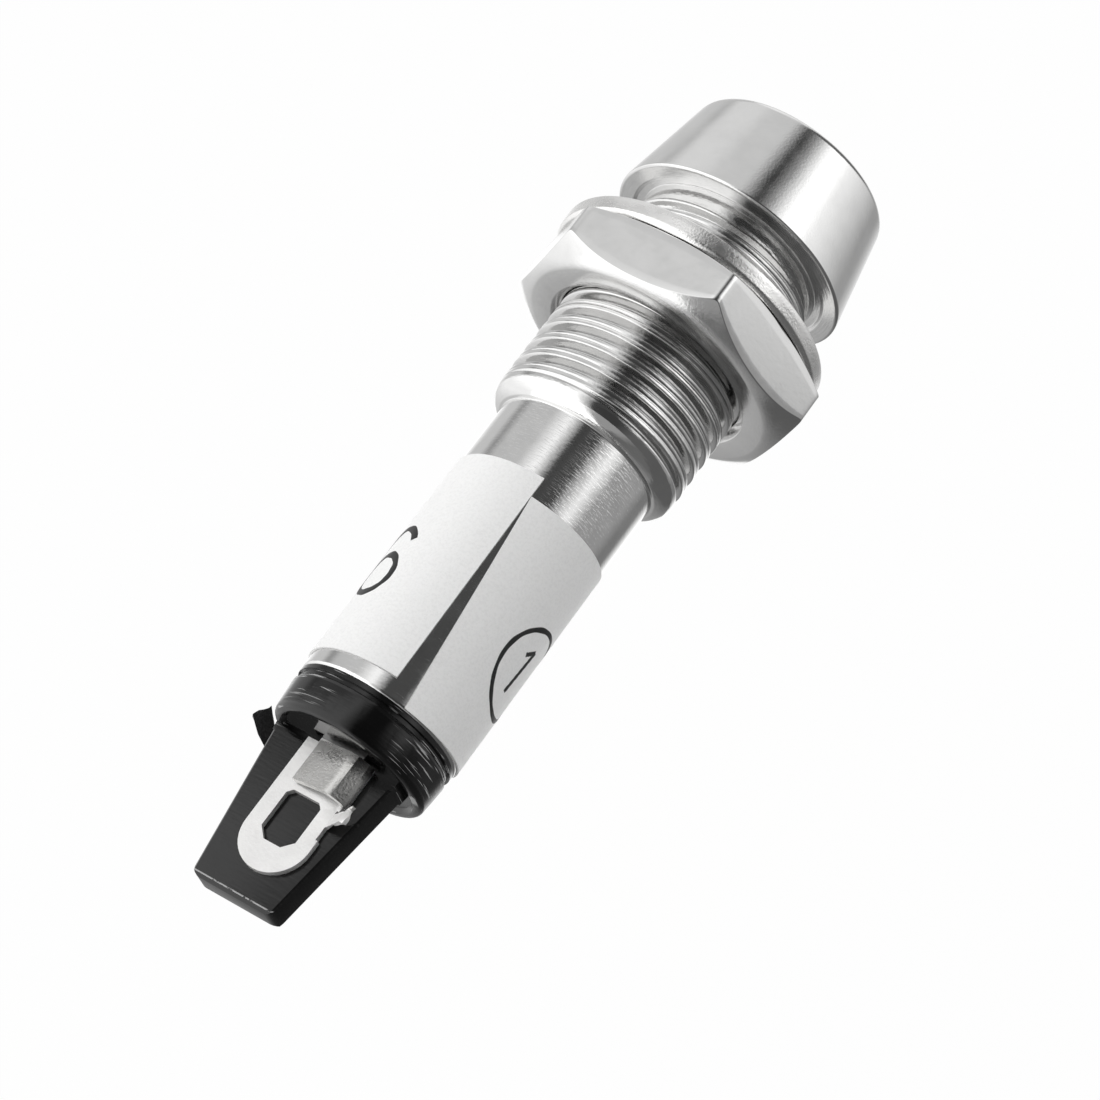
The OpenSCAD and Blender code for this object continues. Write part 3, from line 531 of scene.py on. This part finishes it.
def moulded_plastic(name, colour, roughness, grain, score, worn=False):
    """Hard plastic. grain is the height of a fine bump, score that of marks round Y. Worn plastic
    has a few pale scratches round Y, which end at the collar's rear, and a painted highlight: a
    pale, broken line along the tongue's upper lip, where Y less the height over the middle plane is
    lip_place."""
    material, t, place = finish_tree(name)
    along = t.add("ShaderNodeMapping", {"Vector": place, "Scale": (0.1, 1.0, 0.1)})
    marks = t.noise(along.outputs[0], 9000.0, 3.0, 0.7)
    cloud = t.noise(place, 700.0, 3.0)
    tone = t.ramp(cloud, [(0.3, colour), (0.75, tuple(c * 1.5 for c in colour))])
    if worn:
        axes = t.add("ShaderNodeSeparateXYZ", {"Vector": place})
        drawn = t.add("ShaderNodeMapping", {"Vector": place, "Scale": (0.045, 1.0, 0.045)})
        thin = t.noise(drawn.outputs[0], 8000.0, 2.0, 0.7)
        patch = t.noise(place, 420.0, 1.0)
        scratch = t.math("MULTIPLY", t.band(thin, 0.60, 0.66), t.band(patch, 0.50, 0.62))
        scratch = t.math("MULTIPLY", scratch, t.band(axes.outputs["Y"], *scratch_band))
        height = t.math("ABSOLUTE", axes.outputs["Z"])
        off_lip = t.math("SUBTRACT", t.math("SUBTRACT", axes.outputs["Y"], height), lip_place)
        # the painted highlight: a pale, broken line along the tongue's upper lip
        lip_highlight = t.math("MULTIPLY", t.band(t.math("ABSOLUTE", off_lip), *lip_half),
                     t.band(t.noise(place, 5000.0, 2.0), 0.34, 0.48))
        lip_highlight = t.math("MULTIPLY", lip_highlight, t.band(height, *lip_height))
        tone = t.mix(t.math("MAXIMUM", scratch, lip_highlight), tone, pale_wear_and_highlight)
    t.surface({"Base Color": tone, "Metallic": 0.0,
               "Roughness": t.spread(cloud, 0.3, 0.7, roughness, roughness + 0.14),
               "Normal": t.bump(marks, score, t.bump(t.noise(place, 6000.0, 3.0), grain))})
    return material


def dress(name, material):
    """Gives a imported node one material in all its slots."""
    mesh = nodes[name].data
    mesh.materials.clear()
    mesh.materials.append(material)


def spots(mesh):
    """A mesh's points as an array."""
    points = np.empty(len(mesh.vertices) * 3)
    mesh.vertices.foreach_get("co", points)
    return points.reshape(-1, 3)


def softened(node, name, width, crush=None):
    """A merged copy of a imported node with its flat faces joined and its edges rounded. crush,
    where given, says how far each of an array of points moves. The edges that move at both ends
    are cut finer for it."""
    mesh = nodes[node].data.copy()
    piece = bpy.data.objects.new(name, mesh)
    bpy.context.scene.collection.objects.link(piece)
    shape = bmesh.new()
    shape.from_mesh(mesh)
    bmesh.ops.remove_doubles(shape, verts=shape.verts, dist=0.001 * mm)
    bmesh.ops.dissolve_limit(shape, angle_limit=math.radians(2), verts=shape.verts,
                             edges=shape.edges)
    if crush:
        shape.to_mesh(mesh)
        shape.edges.ensure_lookup_table()
        ends = np.empty(len(mesh.edges) * 2, dtype=np.int32)
        mesh.edges.foreach_get("vertices", ends)
        moved = np.any(crush(spots(mesh)) != 0, axis=1)[ends.reshape(-1, 2)].all(axis=1)
        bmesh.ops.subdivide_edges(shape, edges=[shape.edges[k] for k in np.flatnonzero(moved)],
                                  cuts=4, use_grid_fill=True)
        bmesh.ops.triangulate(shape, faces=shape.faces)
    shape.to_mesh(mesh)
    shape.free()
    if crush:
        mesh.vertices.foreach_set("co", (spots(mesh) + crush(spots(mesh))).ravel())
        mesh.update()
    mesh.materials.clear()
    bevelled(piece, width, 24).harden_normals = True
    smooth(piece, 40)
    return piece


base = softened("terminal_base", "base_moulding", 0.20 * mm)
base.data.materials.append(
    moulded_plastic("black_moulding", (0.002, 0.002, 0.002), 0.08, 0.8e-6, 6.0e-6, worn=True))
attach(base, "light")
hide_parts("terminal_base")


# Solder lugs
# Two strips of brass stamped and folded, each with a wire clamp and a hook, dipped in tin that
# froze a little unevenly.
clamp_front = 30.0 * mm
clamp_rear = 33.7 * mm
lug_edge = 2.2 * mm

tin = bright_metal("tin_dipped", (0.90, 0.895, 0.885), 0.33, 9.0e-6, 0.17 * mm, 0.6e-6, 0.05 * mm,
                   dull=0.12, metallic=0.55)
# the fold's tin has stronger marks, and its darker colour is painted shade on the clamp
shaded_folded_tin = bright_metal("tin_folded_shaded", (0.60, 0.595, 0.58), 0.18, 9.0e-6, 0.14 * mm, 2.5e-6,
                          0.05 * mm, dull=0.14)
# the lower lug's hook, past the lug's edge, is nearly black
black_tin = bright_metal("tin_black", (0.012, 0.012, 0.012), 0.14, 60.0e-6, 0.16 * mm, 0.6e-6,
                         0.05 * mm, dull=0.14)
crush_waves = np.array([[3.1, 9.2, 4.4], [-6.3, 5.1, 7.7], [8.4, -7.1, 2.9]]) / mm
crush_start = np.array([0.3, 1.7, 4.1])
crush_height = 0.06 * mm
clamp_half = 2.05 * mm
hook_start = 1.9 * mm
hook_blend = 0.4 * mm
hook_flare = 0.35
hook_mid = 34.0 * mm
fold_height = 1.06 * mm


def hook_crush(points):
    """How far each of a lug's points is pushed, as in a strip that was crushed by pliers. Along
    each axis it is a height times the sine of a sum of the point's X, Y and Z, each times its own
    wave number. Only the hook moves, which lies past the lug's edge. The upper lug's hook also
    flares along Y."""
    past = np.clip((np.abs(points[:, :1]) - hook_start) / hook_blend, 0, 1)
    past = past * ((points[:, 1:2] > clamp_rear) | (np.abs(points[:, :1]) > clamp_half))
    push = crush_height * past * np.sin(points @ crush_waves.T + crush_start)
    upper = (points[:, 0] < 0) * past[:, 0]
    push[:, 1] += hook_flare * upper * (points[:, 1] - hook_mid)
    return push


for node, name in (("terminal_positive", "lug_upper"), ("terminal_negative", "lug_lower")):
    lug = softened(node, name, 0.05 * mm, crush=hook_crush)
    for finish in (tin, shaded_folded_tin, black_tin):
        lug.data.materials.append(finish)
    middle = middles(lug.data)
    # the folded clamp takes the darker tin, which is painted shade
    folded = (middle[:, 1] < clamp_rear) & (np.abs(middle[:, 2]) > fold_height)
    # the hook past the lug's edge is nearly black
    black_hook = (middle[:, 0] > lug_edge) & (middle[:, 1] > clamp_front)
    lug.data.polygons.foreach_set("material_index", np.where(black_hook, 2, folded).astype(np.int32))
    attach(lug, "light")
    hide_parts(node)


# Paper label
# A strip of white coated paper wound once round the tube, a little askew, so that its ends
# leave a seam that gapes towards the back. It carries plain numbers.
label_r = 4.19 * mm
label_t = 0.09 * mm
seam = math.radians(113)
label_front = 16.5 * mm
label_front_far = 17.57 * mm
label_rear = 28.08 * mm
label_rear_far = 29.0 * mm
near_lean = math.radians(1.2)
far_lean = math.radians(15.5)
seam_gap = math.radians(0.4)
curl = 0.03 * mm
curl_reach = 0.012

# u runs round the tube from the near edge to the far edge, which leans away so that the seam
# gapes, and v along it from the front edge to the rear edge. The paper lifts by a curl that falls
# off exponentially from both edges. The outer side and the inner side make one closed band.
u = np.linspace(0, 1, 181)[:, None]
v = np.linspace(0, 1, 61)[None, :]
label_y0 = label_front + (label_front_far - label_front) * u
label_y1 = label_rear + (label_rear_far - label_rear) * u
label_y = label_y0 + (label_y1 - label_y0) * v
near_edge = seam + near_lean * (label_y - label_front) / (label_rear - label_front)
far_edge = seam - math.tau + far_lean * np.clip(
    (label_y - label_front_far) / (label_rear_far - label_front_far), 0, 1) + seam_gap
label_a = near_edge + (far_edge - near_edge) * u
lift = curl * (np.exp(-u / curl_reach) + np.exp(-(1 - u) / curl_reach))
outer = np.stack([(label_r + label_t + lift) * np.cos(label_a), label_y,
                  (label_r + label_t + lift) * np.sin(label_a)], axis=-1)
inner = np.stack([(label_r + lift) * np.cos(label_a), label_y,
                  (label_r + lift) * np.sin(label_a)], axis=-1)
ring = np.concatenate([outer, inner[:, ::-1]], axis=1)
rows, count = ring.shape[:2]
k = np.arange(outer.shape[1] - 1)
near_end = np.stack([k, k + 1, count - 2 - k, count - 1 - k], axis=-1)
far_end = near_end[:, ::-1] + (rows - 1) * count
label = skin("label_paper", ring, ends=near_end.tolist() + far_end.tolist())
smooth(label, 50)


def coated_paper(name, colour):
    """White paper with a thin coat: a fibre bump, faint mottling and a low sheen."""
    material, t, place = finish_tree(name)
    fibre = t.noise(place, 7000.0, 4.0, 0.7)
    speckle = t.noise(place, 7500.0, 3.0, 0.7)
    tone = t.ramp(speckle, [(0.36, tuple(c * 0.94 for c in colour)), (0.56, colour)])
    t.surface({"Base Color": tone, "Roughness": 0.42, "Specular IOR Level": 0.4,
               "Normal": t.bump(fibre, 20.0e-6)})
    return material


label.data.materials.append(coated_paper("label_white", (0.91, 0.91, 0.905)))
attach(label, "light")
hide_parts("wrap_label")


# Label numbers
# Plain numbers printed in black ink: a 6, and a 1 in a ring half round the tube's far side. Each
# stroke is a thin ribbon that lies on the paper.
ink = moulded_plastic("ink_black", (0.004, 0.004, 0.004), 0.35, 2.0e-6, 0.1e-6)
ink_height = 0.006 * mm
print_r = label_r + label_t


def stroke(name, right, up, angle, y, width):
    """A ribbon of ink along a path of points, right and up of the mark's middle, which lies at
    this angle and y. Right runs round the tube, up runs towards the head. The ribbon's width
    swells and shrinks a little along the way."""
    path = np.stack([right, up], axis=-1)
    along = np.gradient(path, axis=0)
    along /= np.linalg.norm(along, axis=1, keepdims=True)
    side = np.stack([-along[:, 1], along[:, 0]], axis=-1)
    t = np.linspace(0, 1, len(path))
    swell = 1 + 0.10 * np.sin(43 * t) + 0.06 * np.sin(97 * t + 1)
    across = np.array([-1, -0.7, 0, 0.7, 1]) * width / 2
    high = np.array([-0.5, 1, 1.2, 1, -0.5]) * ink_height
    flat = path[:, None, :] + side[:, None, :] * (across[None, :] * swell[:, None])[:, :, None]
    a = angle + flat[..., 0] / print_r
    r = print_r + high[None, :]
    piece = skin(name, np.stack([r * np.cos(a), y - flat[..., 1], r * np.sin(a)], axis=-1),
                 wrap_u=False)
    smooth(piece)
    piece.data.materials.append(ink)
    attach(piece, "light")


# The six is an open oval spine that runs on into a round bowl, the one a stem and a short flag,
# all in millimetres about the mark's middle.
spine = np.radians(np.linspace(42, 262, 70))
bowl = np.radians(np.linspace(-90, 196, 90))
stroke("number_six",
       np.concatenate([1.4 * np.cos(spine), 0.06 + 1.15 * np.cos(bowl)]) * mm,
       np.concatenate([1.9 * np.sin(spine), -0.78 + 1.12 * np.sin(bowl)]) * mm,
       math.radians(49), 23.1 * mm, 0.40 * mm)
circle = np.linspace(0, math.tau, 140)
stroke("number_ring", 2.31 * mm * np.cos(circle), 2.31 * mm * np.sin(circle),
       math.radians(189), 23.77 * mm, 0.27 * mm)
stem = np.linspace(1.2, -1.2, 30)
stroke("number_one_stem", 0.1 * stem * mm, stem * mm, math.radians(182), 23.8 * mm, 0.27 * mm)
flag = np.linspace(0, 1, 12)
stroke("number_one_flag", (0.12 - 0.6 * flag) * mm, (1.2 - 0.5 * flag) * mm, math.radians(182),
       23.8 * mm, 0.24 * mm)


# Lens and inner parts
# The red lens is a thick moulded cup, pressed in the head; behind it the lamp, its leads, the
# resistor and their sleeves sit in the tube.
def clear_plastic(name, colour, roughness):
    """Clear coloured plastic with a faint swirl on its surface."""
    material, t, place = finish_tree(name)
    swirl = t.noise(place, 800.0, 2.0)
    tone = t.ramp(swirl, [(0.3, tuple(c * 0.9 for c in colour)), (0.7, colour)])
    t.surface({"Base Color": tone, "Roughness": roughness, "IOR": 1.49,
               "Transmission Weight": 0.75, "Normal": t.bump(swirl, 1.0e-6)})
    return material


dress("lens", clear_plastic("red_lens", (0.72, 0.012, 0.010), 0.08))
dress("led_bulb", clear_plastic("lamp_resin", (0.85, 0.05, 0.04), 0.12))
wire_tin = bright_metal("wire_tin", (0.82, 0.81, 0.80), 0.2, 1.0e-6, 0.1 * mm, 0.5e-6, 0.05 * mm)
for name in ("led_lead_anode", "led_lead_cathode", "resistor_wire_front", "resistor_wire_rear"):
    dress(name, wire_tin)
solder = bright_metal("solder", (0.72, 0.72, 0.73), 0.24, 2.0e-6, 0.15 * mm, 0.1e-6, 0.05 * mm)
for name in ("solder_resistor", "solder_positive", "solder_negative"):
    dress(name, solder)
dress("lamp_holder", moulded_plastic("holder_black", (0.03, 0.03, 0.03), 0.4, 2.0e-6, 0.2e-6))
dress("resistor_body", moulded_plastic("resistor_coat", (0.55, 0.42, 0.24), 0.35, 2.0e-6, 0.2e-6))
sleeve_black = moulded_plastic("sleeve_black", (0.02, 0.02, 0.02), 0.35, 1.5e-6, 0.8e-6)
for name in ("resistor_sleeve", "lead_sleeve"):
    dress(name, sleeve_black)
